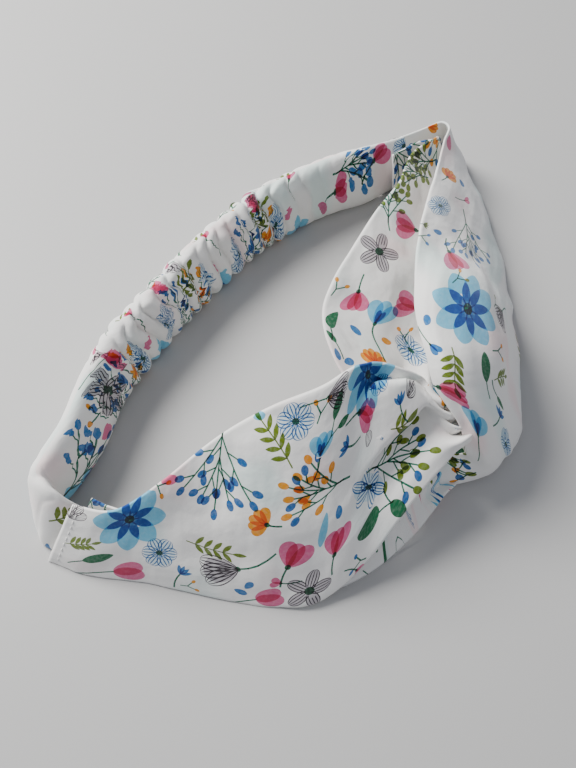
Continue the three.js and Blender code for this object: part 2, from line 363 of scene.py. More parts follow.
# %% The left strip's rows
left_rows = [
    spread((-75, -61, 0), (-63, -49, 22), 0.5),
    spread((-62, -65, 0), (-51, -51, 24), 1),
    spread((-43, -68, 0), (-35, -44, 31.5), 2),
    spread((-24, -72, 0), (-19, -33.5, 38.5), 3),
    spread((-5, -75, 0), (-4, -27, 44.5), 4),
    spread((11, -73, 2), (10, -22, 47), 3),
    row([(22, -65, 8), (21, -59, 14), (21, -52.5, 19.5), (20.5, -44, 25.5), (20.5, -42.5, 27),
         (20, -34, 33), (19.5, -28, 38), (19, -22, 42.5), (19, -16, 47)]),
    row([(26, -61, 11.5), (25, -55, 16), (24.5, -47, 20), (23.3, -38, 24.5), (23.7, -39.5, 28.5),
         (22.5, -31, 34.5), (22, -24, 39.5), (22, -19, 41), (22, -15, 46)]),
    row([(30, -56, 15), (28.5, -50.5, 18.5), (27.5, -42, 21.5), (26, -31.5, 23.5), (27.3, -35.5, 31),
         (25, -26, 37), (24, -20, 42), (25, -17, 38.5), (25, -14, 45)]),
    row([(40, -44, 21), (38, -40, 24), (35, -33, 25), (31.5, -21, 23), (34.5, -29, 33),
         (32, -23, 38), (31, -19, 41), (32, -16.5, 37.5), (33, -14.5, 42)]),
    row([(47, -37, 24), (45, -34, 27), (42, -29, 27), (38, -16.5, 25), (40.5, -23, 34.5),
         (38, -20, 37.5), (36.5, -18, 39), (37.5, -16, 36), (39, -15, 38)]),
    bunched((52, -32, 25), (44, -20, 33), 44),
    bunched((58, -28, 22), (50, -15, 24), 44),
    bunched((63, -24.5, 13), (55, -11, 13), 44),
    bunched((59, -29, 5), (51, -14, 5), 44),
    bunched((55, -36.5, 5), (42, -18, 4), 46),
    bunched((50, -41.5, 5), (34, -19, 12), 54),
    bunched((43, -50, 3), (28, -19, 26), 62, (0, 0, 0, 0, 1, -1, 1, -1, 0)),
    bunched((37, -56, 1), (21, -19, 34), 64, (0, 0, 0, 0, 0, 1, -1, 0, 0)),
    spread((27, -64, 0), (13, -22, 37), 3),
    spread((11, -70.5, 0), (2, -28, 39), 4),
    spread((-5, -70.5, 0), (-6, -34, 37), 4),
    spread((-24, -67, 0), (-20, -41, 30), 2),
    spread((-43, -62, 0), (-37, -49, 19), 1),
    spread((-60, -56, 0), (-52, -48, 13), 0.5),
    spread((-69, -53, 0), (-60, -44, 12), 0.5),
]
left_skins = strip_skins(left_rows, side=1, seed=3.0)
left_strip = strip_object("left_strip_cloth", left_skins)

# %% [markdown]
# ## The right strip
#
# It hangs through the left strip's hook. Its inner layer fans out inside the loop, passes
# under the left strip, turns flat round it and comes back up as the outer layer.

# %% The right strip's rows
right_rows = [
    spread((42, 77, 0), (39, 85, 21)),
    spread((52, 85, 0), (49, 91, 21)),
    spread((60, 91, 0), (55.5, 93, 21)),
    spread((65, 94, 0), (57, 94, 21)),
    spread((68, 91, 0), (54.5, 91.5, 22)),
    spread((70, 84, 0), (48, 86, 23)),
    spread((72, 68, 0), (39, 67, 26), 1),
    spread((73, 54, 0), (30, 52, 29), 2),
    spread((73, 38, 0), (21, 35, 31), 3),
    spread((72, 24, 0), (14, 22, 31), 3),
    spread((69, 12, 2), (11, 12, 30), 2),
    bunched((65, 0, 4), (12, 2, 29), 64, (0, 1, -1, 1, 0, 0, 0, 0, 0)),
    bunched((60, -10, 6), (17, -9, 26), 62, (0, 1, -1, 1, -1, 0, 0, 0, 0)),
    bunched((56, -17, 8), (29, -20, 19), 50, (0, 1, -1, 1, -1, 1, -1, 0, 0)),
    bunched((53, -22, 10), (38, -28, 13), 34),
    row([(47, -28, 13), (47, -30, 12), (47, -32, 11), (46.5, -34, 9), (46, -36, 6),
         (46, -37, 4), (45, -36, 2), (45, -34, 1.5), (44, -32, 1.5)]),
    row([(52, -30, 12.5), (53.5, -32, 11), (55, -33, 10), (56, -34.5, 8), (57, -35.5, 6),
         (59, -36, 3.5), (58, -35, 2), (56, -33, 1.5), (54, -31, 1.5)]),
    row([(55, -30, 13), (57, -31.5, 11.5), (59, -32.5, 10), (61.5, -33.5, 8), (64, -34, 6),
         (65, -33.5, 4), (64, -32, 2.5), (62, -30.5, 2), (60, -29, 2)]),
    row([(55, -31, 17), (57.5, -31.5, 15.5), (62, -33, 12), (64.5, -32.5, 10), (67, -31.5, 7.5),
         (68, -31, 5.5), (68.5, -29, 4), (67, -28, 2.5), (64, -27, 2.5)]),
    row([(53, -30, 23), (54.5, -30, 24), (58.5, -32, 21.5), (62, -31.5, 18), (66, -30, 14),
         (69.5, -29, 9), (72, -27, 4), (70, -26, 2), (67, -25, 2)]),
    row([(51, -28, 29), (52, -27, 31), (55, -29.5, 30), (59.5, -29.5, 26), (64.5, -28, 20.5),
         (70, -26.5, 12), (75, -24, 3.5), (73, -23, 1), (69, -22, 1)]),
    row([(47, -24, 34), (49, -23.5, 36.5), (52, -25.5, 37), (57, -25.5, 33), (64, -23.5, 27),
         (72, -20, 14), (78.5, -17, 3), (76, -16, 0.8), (72, -15, 0.8)]),
    row([(42, -18.5, 38.5), (44, -19.5, 41.5), (47.5, -21, 42.5), (54, -20, 39.5), (63, -17, 32),
         (72, -12, 16), (80, -7.5, 3), (77.5, -6.5, 0.6), (74, -6, 0.6)]),
    row([(39.5, -10, 43.5), (42, -12, 45.5), (44, -13, 46), (52, -12, 43.5), (63, -10, 36),
         (73, -3, 17), (81, 4, 2), (79, 5, 0.5), (77, 5, 0.5)]),
    row([(37.5, 1, 44.5), (40, -0.5, 46), (42.5, -2, 46.5), (51.5, -1.5, 44.5), (63, 0, 38),
         (74, 8, 17), (82, 16, 1), (81, 17, 0.5), (80, 17, 0.5)]),
    row([(38, 14, 44.5), (41.5, 13, 46), (45, 12, 46.5), (53, 13, 43.5), (62.5, 15, 37),
         (71, 20, 22), (79, 26, 6), (81, 27, 2), (82, 27, 0)]),
    spread((41, 32, 42), (82, 38, 0), 4),
    spread((46, 50, 35), (81, 56, 0), 3),
    spread((53, 72, 29), (78, 76, 0), 2),
    spread((58, 88, 25), (74, 91, 0), 1),
    spread((60.5, 97, 23.5), (70.5, 102, 0)),
    spread((59, 99.5, 23), (66, 104.5, 0)),
    spread((54, 99, 21.5), (58, 100, 0)),
    spread((46, 96, 20), (48, 92.5, 0)),
    spread((35, 92, 19), (37, 84, 0)),
]
right_skins = strip_skins(right_rows, side=-1, seed=17.0)
right_strip = strip_object("right_strip_cloth", right_skins)

# %% [markdown]
# ## The gathered casing
#
# The casing is cut more than twice as long as it ends up, and the elastic draws it together.
# A cloth simulation of that takes minutes and folds differently each time the cloth changes,
# so the folds are laid round the tube by a wave with broad crests and narrow valleys. Each
# side of the tube has its own count of folds, so that some of them fork, as real gathers do.

# %% The casing's rows: lower edge, upper edge, thickness, height of the gathers
casing_rows = [
    ((-62, -60, 1), (-54, -51, 13), 3.5, 0.0),
    ((-72, -58, 1), (-62.5, -48, 15), 4.0, 0.1),
    ((-77.5, -55, 0), (-69, -45, 22), 5.0, 0.5),
    ((-76.5, -47, 0), (-74.5, -40, 23), 8.0, 0.4),
    ((-70, -37, 0), (-73, -34.5, 24), 9.0, 0.1),
    ((-63.5, -25, 0), (-68.5, -24.5, 24), 9.0, 0.1),
    ((-58.5, -8, 0), (-63.5, -6.5, 24), 9.5, 0.4),
    ((-53, 4, 0), (-58, 6.5, 24), 10.0, 1.9),
    ((-44, 17.5, 0), (-48.5, 20.5, 24), 9.5, 2.2),
    ((-34, 31, 0), (-38.5, 34.5, 24), 9.5, 2.2),
    ((-21, 47, 0), (-25, 51, 24), 9.5, 2.2),
    ((-6, 62, 0), (-9, 66.5, 24), 10.5, 2.0),
    ((5, 69, 0), (3, 74, 24), 9.5, 1.2),
    ((18, 75.5, 0), (16, 81, 24), 8.5, 0.4),
    ((30, 79.5, 0), (28, 85.5, 24), 6.5, 0.2),
    ((38.5, 84, 1), (36, 90, 22), 4.0, 0.1),
    ((46, 88.5, 1), (44, 94, 21), 3.5, 0.0),
]
GATHER = 2.6  # cloth length to finished length where the casing is gathered
FOLD = 6.8  # mm from one gather to the next
around = 108
casing_first = np.array([r[0] for r in casing_rows], float)
casing_second = np.array([r[1] for r in casing_rows], float)
casing_knots = distances((casing_first + casing_second) / 2)
casing_at = np.linspace(0, casing_knots[-1], int(casing_knots[-1] / 0.5) + 1)


def casing_skin():
    first = through(casing_first, casing_knots, casing_at)
    second = through(casing_second, casing_knots, casing_at)
    thick = through([r[2] for r in casing_rows], casing_knots, casing_at)[:, 0]
    gather = through([r[3] for r in casing_rows], casing_knots, casing_at)[:, 0]
    middle, across = (first + second) / 2, second - first
    half_width = np.linalg.norm(across, axis=1) / 2
    across = unit(across)
    out = unit(np.cross(across, unit(np.gradient(middle, axis=0))))
    turn = np.linspace(0, 2 * np.pi, around, endpoint=False)
    x = np.sign(np.cos(turn)) * np.abs(np.cos(turn)) ** 0.85
    y = np.sign(np.sin(turn)) * np.abs(np.sin(turn)) ** 0.85
    outer_side = ease(0.5 + 0.9 * np.sin(turn))
    shift = np.array([[noise.noise(Vector((a / 9, np.cos(t) * 1.1, np.sin(t) * 1.1)))
                       for t in turn] for a in casing_at])
    twist = np.array([[noise.noise(Vector((a / 26 + 40, np.cos(t) * 0.6, np.sin(t) * 0.6)))
                       for t in turn] for a in casing_at])
    lean = 1.5 * np.cos(turn)[None, :]
    waves = []
    for count, phase in ((1.0, 0.0), (1.17, 2.0)):
        angle = 2 * np.pi * casing_at[:, None] / FOLD * count + phase + lean * (1 + 1.5 * twist)
        angle = angle + 2.4 * shift + 3.2 * twist
        waves.append(np.abs(np.cos(angle / 2)))
    wave = waves[0] * outer_side + waves[1] * (1 - outer_side)
    crest = wave ** 0.5
    height = gather[:, None] * (1.15 * crest - 0.78) * (1 + 0.7 * shift + 0.5 * twist)
    small = np.array([[noise.noise(Vector((a / 3.4, np.cos(t) * 2.2, np.sin(t) * 2.2 + 9)))
                       for t in turn] for a in casing_at])
    ripple = 0.2 * shift + 0.42 * gather[:, None] * small
    radius_x = half_width[:, None] + 0.75 * height
    radius_y = thick[:, None] / 2 + height + ripple
    skin = middle[:, None] + (x * radius_x)[..., None] * across[:, None]
    skin = skin + (y * radius_y)[..., None] * out[:, None]
    skin[..., 2] = np.maximum(skin[..., 2], 0)
    stretch = 1 + (GATHER - 1) * ease(gather / 1.8)[:, None] * (0.12 + 4.5 * (1 - crest) ** 1.6)
    u = np.cumsum(stretch * 0.5, axis=0)
    u = u / u[-1:] * u[-1].mean()
    v = turn / (2 * np.pi) * 2 * 22
    return skin, u, v


casing_ring, casing_u, casing_v = casing_skin()
casing_v_all = np.repeat(np.append(casing_v, 44.0)[None, :], len(casing_at), axis=0)
casing_u_all = np.hstack([casing_u, casing_u[:, :1]])
casing = cloth_object("casing_cloth", casing_ring, casing_u_all, casing_v_all)

# %% [markdown]
# ## What the cloth holds
#
# Inside are the elastic, tacked at both ends of the casing, and the long seams that closed the
# tubes before they were turned right side out. The strips' ends are closed over the casing by
# a row of stitches that dips in and out of the cloth. A thread could be a curve with a bevel,
# but cloth that bends between two bodies has to be a mesh, so each is a thin ring swept along.

# %% Rings along a path
def ring_along(path, across, out, half_across, half_out, sides=8):
    """Rings of points round a path, as wide and thick as the two half sizes say."""
    turn = np.linspace(0, 2 * np.pi, sides, endpoint=False)
    wide = np.cos(turn)[None, :, None] * across[:, None] * np.reshape(half_across, (-1, 1, 1))
    thick = np.sin(turn)[None, :, None] * out[:, None] * np.reshape(half_out, (-1, 1, 1))
    return path[:, None] + wide + thick


def thread_object(name, path, out, half=0.2, stitch=2.4, bury=0.0):
    """A run of stitches along path. Between stitches the thread thins, or is buried in cloth."""
    along = distances(path)
    fine = np.arange(0, along[-1], 0.3)
    path = np.stack([np.interp(fine, along, path[:, i]) for i in range(3)], axis=1)
    out = unit(np.stack([np.interp(fine, along, out[:, i]) for i in range(3)], axis=1))
    forward = unit(np.gradient(path, axis=0))
    across = unit(np.cross(out, forward))
    dip = np.abs(np.cos(np.pi * fine / stitch)) ** 6
    path = path - out * (dip * bury)[:, None]
    radius = half * (1 - 0.45 * dip)
    ring = ring_along(path, across, out, radius, radius)
    ring[..., 2] = np.maximum(ring[..., 2], 0.02)
    flat_v = np.repeat(np.linspace(0, 2, 9)[None, :], len(fine), axis=0)
    return cloth_object(name, ring, np.repeat(fine[:, None], 9, axis=1), flat_v)


def strip_normals(front, back):
    return unit(front - back + 1e-9)


# %% Seams, join stitches, tacks and the elastic
def long_seam(name, skins, share=0.06):
    front, back = skins[:2]
    column = int(share * front.shape[1])
    path = (front[:, column] + back[:, column]) / 2
    return thread_object(name, path[4:-4], strip_normals(front, back)[4:-4, column], half=0.16)


def join_stitches(name, skins, row, on_front):
    """A row of stitches across a strip, just inside its end."""
    front, back = skins[:2]
    skin = front if on_front else back
    out = strip_normals(front, back)[row] * (1 if on_front else -1)
    used = slice(6, front.shape[1] - 6)
    path = skin[row, used] + 0.06 * out[used]
    return thread_object(name, path, out[used], half=0.17, stitch=2.6, bury=0.55)


left_seam = long_seam("left_long_seam", left_skins)
right_seam = long_seam("right_long_seam", right_skins)
left_join = join_stitches("left_join_stitches", left_skins, 3, True)
right_join = join_stitches("right_join_stitches", right_skins, -4, False)

END_ROWS = 12  # rows of the casing's mesh beyond each end of the elastic
ELASTIC_HALF = 7.5  # half of the elastic's width, mm
ELASTIC_THROUGH = 0.6  # and of its thickness
SEAM_PLACE = 9.3  # from the casing's middle line to its seam
skin_middle = casing_ring.mean(axis=1)
casing_across = unit(casing_second - casing_first)
casing_across = unit(through(casing_across, casing_knots, casing_at))
casing_out = unit(np.cross(casing_across, unit(np.gradient(skin_middle, axis=0))))
casing_middle = through((casing_first + casing_second) / 2, casing_knots, casing_at)
inside = slice(END_ROWS, len(casing_at) - END_ROWS)
elastic_ring = ring_along(casing_middle[inside], casing_across[inside], casing_out[inside],
                          ELASTIC_HALF, ELASTIC_THROUGH, sides=24)
flat = casing_at[inside] - casing_at[END_ROWS]
elastic = cloth_object("woven_elastic", elastic_ring, np.repeat(flat[:, None], 25, axis=1),
                       np.repeat(np.linspace(0, 32, 25)[None, :], len(flat), axis=0))
seam_path = (casing_middle - SEAM_PLACE * casing_across)[inside]
casing_seam = thread_object("casing_long_seam", seam_path, casing_out[inside], half=0.16)


def tack(name, i):
    """A bar of stitches across the elastic, near its end."""
    span = np.linspace(-5, 5, 30)[:, None]
    path = casing_middle[i] + span * casing_across[i] + 0.75 * casing_out[i]
    out = np.repeat(casing_out[i][None], 30, axis=0)
    return thread_object(name, path, out, half=0.2, stitch=1.6, bury=0.3)


left_tack = tack("left_tack", 16)
right_tack = tack("right_tack", len(casing_at) - 17)

# %% [markdown]
# ## The printed flowers
#
# A picture of the print would blur close up, and nodes for every flower would be thousands.
# Instead each petal, leaf, berry and stem is one small stroke with a centre, a direction, a
# length, a width and an outline. Each face of the cloth keeps the few strokes that reach it:
# where its corners lie in the stroke's own axes. The material then draws the outline exactly.

# %% Strokes: the shapes and the inks
PETAL, POINTED, ROUND, STEM = (0.5, 0.35), (0.95, 0.0), (0.5, 0.0), (0.04, 0.0)
INKS = {
    "stem": (0.0, 0.15, 0.08), "leaf": (0.0, 0.14, 0.05), "olive": (0.13, 0.20, 0.0),
    "blue": (0.01, 0.12, 0.38), "mid": (0.02, 0.17, 0.46), "sky": (0.17, 0.55, 0.80),
    "pink": (0.72, 0.14, 0.31), "amber": (0.82, 0.30, 0.0),
    "pale": (0.74, 0.87, 0.95), "grey": (0.55, 0.52, 0.56),
    "blue_lines": (0.02, 0.17, 0.42), "charcoal_lines": (0.07, 0.05, 0.07),
}
INK_NAMES = list(INKS)
FIRST_LINED = INK_NAMES.index("blue_lines")


def stroke(x, y, turn, length, width, outline, ink):
    return [x, y, turn, length / 2, width / 2, *outline, INK_NAMES.index(ink)]


def bloom(base, turn, length, width, ink, outline=PETAL):
    """A petal or leaf that grows from base towards turn, in degrees."""
    a = np.radians(turn)
    x, y = base[0] + length / 2 * np.cos(a), base[1] + length / 2 * np.sin(a)
    return stroke(x, y, turn, length, width, outline, ink)


def stem(*points, width=0.55, ink="stem"):
    """A stem through points, as short straight strokes."""
    strokes = []
    for (x0, y0), (x1, y1) in zip(points, points[1:]):
        turn = np.degrees(np.arctan2(y1 - y0, x1 - x0))
        length = np.hypot(x1 - x0, y1 - y0) + width * 0.6
        strokes.append(stroke((x0 + x1) / 2, (y0 + y1) / 2, turn, length, width, STEM, ink))
    return strokes


def bent(start, turn, length, bend, parts=4):
    """Points of a stem that leaves start towards turn and bends evenly."""
    points = [start]
    for i in range(parts):
        a = np.radians(turn + bend * (i + 0.5) / parts)
        x, y = points[-1]
        points.append((x + length / parts * np.cos(a), y + length / parts * np.sin(a)))
    return points


# %% Motifs, each drawn upwards along +X from where its stem ends
def tulip(ink="pink"):
    petals = [bloom((0, 0), a, 8.2, 4.6, ink) for a in (-27, 24)]
    petals.append(bloom((0, 0), 0, 7.6, 4.4, ink))
    return petals + [stroke(-0.2, 0, 0, 1.8, 1.6, ROUND, "leaf")] + stem(*bent((0, 0), 175, 7, 25))


def cup(ink="pink"):
    petals = [bloom((0, 0), a, 6.6, 4.4, ink) for a in (-48, 0, 48)]
    return petals + [stroke(0, 0, 0, 1.5, 1.5, ROUND, "leaf")] + stem(*bent((0, 0), 185, 6, -25))


def lined_flower(ink="blue_lines", petals=6, size=5.6):
    wash = [stroke(0, 0, 0, size * 1.75, size * 1.75, ROUND, "pale")]
    outer = [bloom((0, 0), 360 / petals * k + 10, size, size * 0.8, ink) for k in range(petals)]
    return [stroke(0, 0, 0, 2.2, 1.9, ROUND, "stem")] + wash + outer


def open_flower():
    outer = [bloom((0, 0), 72 * k + 15, 8.0, 4.6, "charcoal_lines", (0.5, 0.15)) for k in range(5)]
    wash = [bloom((0, 0), 72 * k + 15, 7.8, 4.4, "grey", (0.5, 0.15)) for k in range(5)]
    return [stroke(0.2, 0, 0, 3.4, 3.0, ROUND, "leaf")] + wash + outer


def star_flower():
    outer = [bloom((0, 0), 45 * k + 8, 12.0, 7.0, "sky", (0.7, 0.15)) for k in range(8)]
    inner = [bloom((0, 0), 45 * k + 30, 8.0, 3.0, "mid", (0.8, 0.1)) for k in range(8)]
    return [stroke(0, 0, 0, 3.4, 3.2, ROUND, "stem")] + inner + outer


def drop_flower(ink="sky", core="blue"):
    petals = [bloom((0, 0), a, 8.8, 4.6, ink) for a in (-28, 0, 28)]
    core_petals = [bloom((0, 0), a, 5.0, 1.6, core) for a in (-10, 12)]
    centre = [stroke(0, 0, 0, 1.5, 1.3, ROUND, "stem")]
    return petals + core_petals + centre + stem(*bent((0, 0), 185, 11, -30))


def fan_flower():
    petals = [bloom((0, 0), a, 10.0, 4.8, "charcoal_lines") for a in (-22, 0, 22)]
    petals.append(bloom((0, 0), 0, 9.0, 7.5, "grey"))
    return petals + [stroke(0, 0, 0, 1.4, 1.6, ROUND, "leaf")] + stem(*bent((0, 0), 180, 11, 30))


def thistle(ink="mid"):
    petals = [bloom((0, 0), a, 3.6, 1.2, ink, POINTED) for a in (-40, -14, 12, 38)]
    return petals + stem(*bent((0, 0), 180, 6, 35), width=0.5)


def bud(ink="pink"):
    petals = [bloom((0, 0), a, 3.2, 2.0, ink) for a in (-24, 24)]
    return petals + [stroke(0, 0, 0, 0.9, 0.9, ROUND, "leaf")] + stem(*bent((0, 0), 180, 6, 30), width=0.45)


def amber_flower():
    petals = [bloom((0, 0), a, 5.2, 2.8, "amber") for a in (-62, -32, 0, 32, 62)]
    return petals + [stroke(0, 0, 0, 1.5, 1.5, ROUND, "leaf")] + stem(*bent((0, 0), 180, 4, 20))


def twin_berries(ink="amber"):
    twigs = stem((-4.5, 0.6), (-2, 0), (0.4, 1.8), width=0.5) + stem((-2, 0), (0.2, -1.8), width=0.5)
    berries = [stroke(1.2, 2.3, 40, 2.0, 1.4, ROUND, ink), stroke(1.0, -2.4, -50, 2.0, 1.4, ROUND, ink)]
    return twigs + berries


def sprig(pairs=4, length=17):
    """An olive twig with pairs of narrow leaves and one at its tip."""
    points = bent((0, 0), -8, length, 18, pairs + 1)
    strokes = stem(*points, width=0.45, ink="olive")
    for i in range(1, len(points) - 1):
        for side in (-1, 1):
            strokes.append(bloom(points[i], 10 + side * 48, 5.0, 1.7, "olive", POINTED))
    return strokes + [bloom(points[-1], 12, 5.0, 1.7, "olive", POINTED)]


def leaf_pair():
    leaves = [bloom((5, 2.5), 30, 9.5, 4.2, "leaf", POINTED)]
    leaves.append(bloom((4, -1.2), -38, 6.0, 3.0, "leaf", POINTED))
    return leaves + stem((-5, 0), (1, 0), (5, 2.5)) + stem((1, 0), (4, -1.2))


def single_leaf(length=9.0, width=3.8, ink="leaf"):
    leaf = [bloom((0, 0), 0, length, width, ink, (0.7, -0.1))]
    return leaf + stem(*bent((0, 0), 178, 5, 20), width=0.5)


def lined_petals(count=3, length=5.0):
    """Part of a lined flower that a fold or an edge cuts off."""
    return [bloom((0, 0), 34 * (k - (count - 1) / 2), length, 3.0, "charcoal_lines") for k in range(count)]


def half_tulip():
    petals = [bloom((0, 0), a, 9.5, 6.0, "pink", (0.5, 0.1)) for a in (-14, 14)]
    return petals + stem(*bent((0, 0), 182, 12, 10))


def petal(ink="mid", length=4.2, width=2.4):
    return [bloom((0, 0), 0, length, width, ink, (0.6, 0.2))]


def branch(berry="blue", other=None, size=1.0):
    """A spray of berries: a stem that forks twice, with a berry at every tip."""
    strokes = []
    stems = [(0, 24, 0), (3, 19, 34), (3, 19, -34), (9, 12, 20), (9, 12, -20)]
    k = 0
    for start, length, turn in stems:
        base = (start * size, 0)
        points = bent(base, turn * 0.8, length * size, turn * 0.35, 4)
        strokes += stem(*points, width=0.5)
        tips = [(points[-1], turn * 1.1)]
        for i in (1, 2, 3):
            for side in (-1, 1):
                if (i + (side > 0) + (turn > 0)) % 2:
                    tip = (points[i][0] + 3.4 * size * np.cos(np.radians(turn + side * 38)),
                           points[i][1] + 3.4 * size * np.sin(np.radians(turn + side * 38)))
                    strokes += stem(points[i], tip, width=0.45)
                    tips.append((tip, turn + side * 38))
        for tip, way in tips:
            k += 1
            ink = other if other and k % 4 == 0 else berry
            strokes.append(bloom(tip, way, 3.3, 2.1, ink, ROUND))
    return strokes + stem((-4 * size, 0.6), (0, 0), (3 * size, 0), width=0.6)


def set_down(motif, x, y, turn=0, size=1.0):
    """The strokes of a motif, turned and sized and set at x, y on the cloth."""
    a = np.radians(turn)
    moved = []
    for sx, sy, way, half_l, half_w, power, swell, ink in motif:
        px, py = size * (sx * np.cos(a) - sy * np.sin(a)), size * (sx * np.sin(a) + sy * np.cos(a))
        moved.append([x + px, y + py, way + turn, half_l * size, half_w * size, power, swell, ink])
    return moved


def leaned(motif, right, down):
    """A motif for cloth whose grain runs at a slant: right and down are the motif's own axes."""
    axes = np.array([right, down], float)
    moved = []
    for x, y, turn, half_l, half_w, power, swell, ink in motif:
        px, py = np.array([x, y]) @ axes
        ax, ay = np.array([np.cos(np.radians(turn)), np.sin(np.radians(turn))]) * half_l @ axes
        length = np.hypot(ax, ay)
        width = half_w * half_l * abs(np.linalg.det(axes)) / length
        moved.append([px, py, np.degrees(np.arctan2(ay, ax)), length, width, power, swell, ink])
    return moved


# %% One repeat of the print, 82 mm by 77 mm
REPEAT = (82, 77)
repeat_motifs = [
    (star_flower(), 14, 14, 0, 1.0), (lined_flower(), 28, 26, 20, 1.0), (branch(), 38, 10, 60, 1.0),
    (sprig(), 50, 29, 10, 1.0), (tulip(), 12, 36, 75, 1.0), (leaf_pair(), 26, 44, 20, 1.0),
    (amber_flower(), 43, 41, 160, 1.0), (fan_flower(), 64, 41, 200, 1.0), (thistle(), 38, 53, 100, 1.0),
    (branch("amber", "blue", 0.9), 56, 12, 50, 1.0), (lined_flower(), 75, 26, 50, 1.0),
    (open_flower(), 10, 56, 10, 1.0), (cup(), 72, 56, 60, 1.0), (drop_flower(), 53, 56, 110, 1.0),
    (twin_berries(), 26, 62, 80, 1.0), (sprig(3, 13), 4, 72, -20, 1.0),
    (branch("olive", "blue", 0.85), 31, 72, 5, 1.0), (bud(), 62, 72, 150, 1.0),
    (petal(), 20, 53, 30, 1.0), (petal(), 44, 67, 120, 1.0), (single_leaf(), 75, 72, 70, 1.0),
    (tulip(), 75, 7, 120, 0.9), (petal("pink"), 3, 26, 30, 1.0), (twin_berries(), 4, 46, 160, 1.0),
    (bud("mid"), 24, 3, 10, 1.0), (petal(), 60, 50, 200, 1.0),
]


def repeats(width, height, dx, dy, keep):
    """The repeat all over a piece of cloth, wherever keep says so of a motif's place."""
    strokes = []
    for i in range(-1, int(width / REPEAT[0]) + 2):
        for j in range(-1, int(height / REPEAT[1]) + 2):
            for motif, x, y, turn, size in repeat_motifs:
                x, y = x + i * REPEAT[0] + dx, y + j * REPEAT[1] + dy
                if keep(x, y):
                    strokes += set_down(motif, x, y, turn, size)
    return strokes


def laid_out(motifs):
    return [one for motif, x, y, turn, size in motifs for one in set_down(motif, x, y, turn, size)]


# %% The flowers that show on the left arm: motif, mm along, mm across, turn, size
SKY_STREAK = petal("sky", 11, 2.6)
left_flowers = [
    (star_flower(), 21, 27, 0, 1.05), (lined_flower(), 33, 15, -7, 1.0),
    (lined_flower(), 73, 61, -20, 1.0), (star_flower(), 101, 57, 10, 0.95),
    (lined_flower(), 107, 54, 0, 0.9), (branch(), 50, 58, -92, 1.05), (sprig(), 72, 48, 123, 0.95),
    (twin_berries(), 81, 63, 76, 1.0), (fan_flower(), 83, 64, -20, 0.8), (leaf_pair(), 83, 52, 35, 0.8),
    (tulip(), 96, 48, -32, 1.05), (drop_flower(), 80, 49, 80, 0.75), (thistle(), 90, 44, 135, 1.1),
    (branch("amber", "blue", 0.75), 88, 36, 160, 1.0), (SKY_STREAK, 82, 31, -99, 1.0),
    (petal(), 86, 30, -82, 1.0), (amber_flower(), 65, 31, 160, 1.05),
    (fan_flower(), 57, 14, -162, 1.15), (tulip(), 71, 16, 66, 1.1), (tulip(), 85, 15, 77, 1.0),
    (sprig(), 41, 21, -9, 0.85), (bud(), 69, 10, 165, 1.0), (petal(), 59, 7, 55, 0.9),
    (petal(), 56, 6, -20, 0.9), (half_tulip(), 62, 3, 18, 0.85), (open_flower(), 77, 6, -13, 0.9),
    (leaned(branch("olive", "blue", 0.95), (0.76, -0.71), (-0.31, -0.71)), 102, 23, 0, 1.0),
    (leaned(lined_flower(), (1.4, -1.6), (-0.2, -0.65)), 99, 21, 0, 0.95),
    (leaned(set_down(single_leaf(11, 6), 0, 0, 142), (1.0, -1.1), (-0.15, -0.8)), 103, 9, 0, 1.0),
    (leaned(set_down(single_leaf(6, 3.8), 0, 0, 56), (1.0, -1.1), (-0.15, -0.8)), 107, 7, 0, 1.0),
    (twin_berries("mid"), 93, 4, 156, 0.9), (bud(), 93, 1.5, -60, 1.0), (thistle(), 114, 43, 80, 1.0),
    (lined_petals(3), 117, 43, 10, 0.9), (lined_petals(1), 99, 36, 66, 1.0),
    (half_tulip(), 20, 4, 14, 1.0), (single_leaf(10, 3.8), 10, 7, 30, 1.0),
    (sprig(4, 11), 3, 12, 20, 0.75), (lined_petals(3, 6), 1, 23, 60, 1.0),
    (twin_berries(), 31, 38, -19, 1.0), (petal("pink", 6, 3), 30, 40, 10, 1.0),
    (thistle(), 40, 8, 60, 1.1), (twin_berries(), 44, 4, 20, 0.8), (sprig(2, 6), 109, 38, -10, 0.9),
    (petal("sky"), 60, 62, 20, 1.0), (petal(), 195, 8, -72, 1.1), (petal(), 199, 4, -128, 1.1),
    (tulip(), 184, 6, -160, 1.0),
]

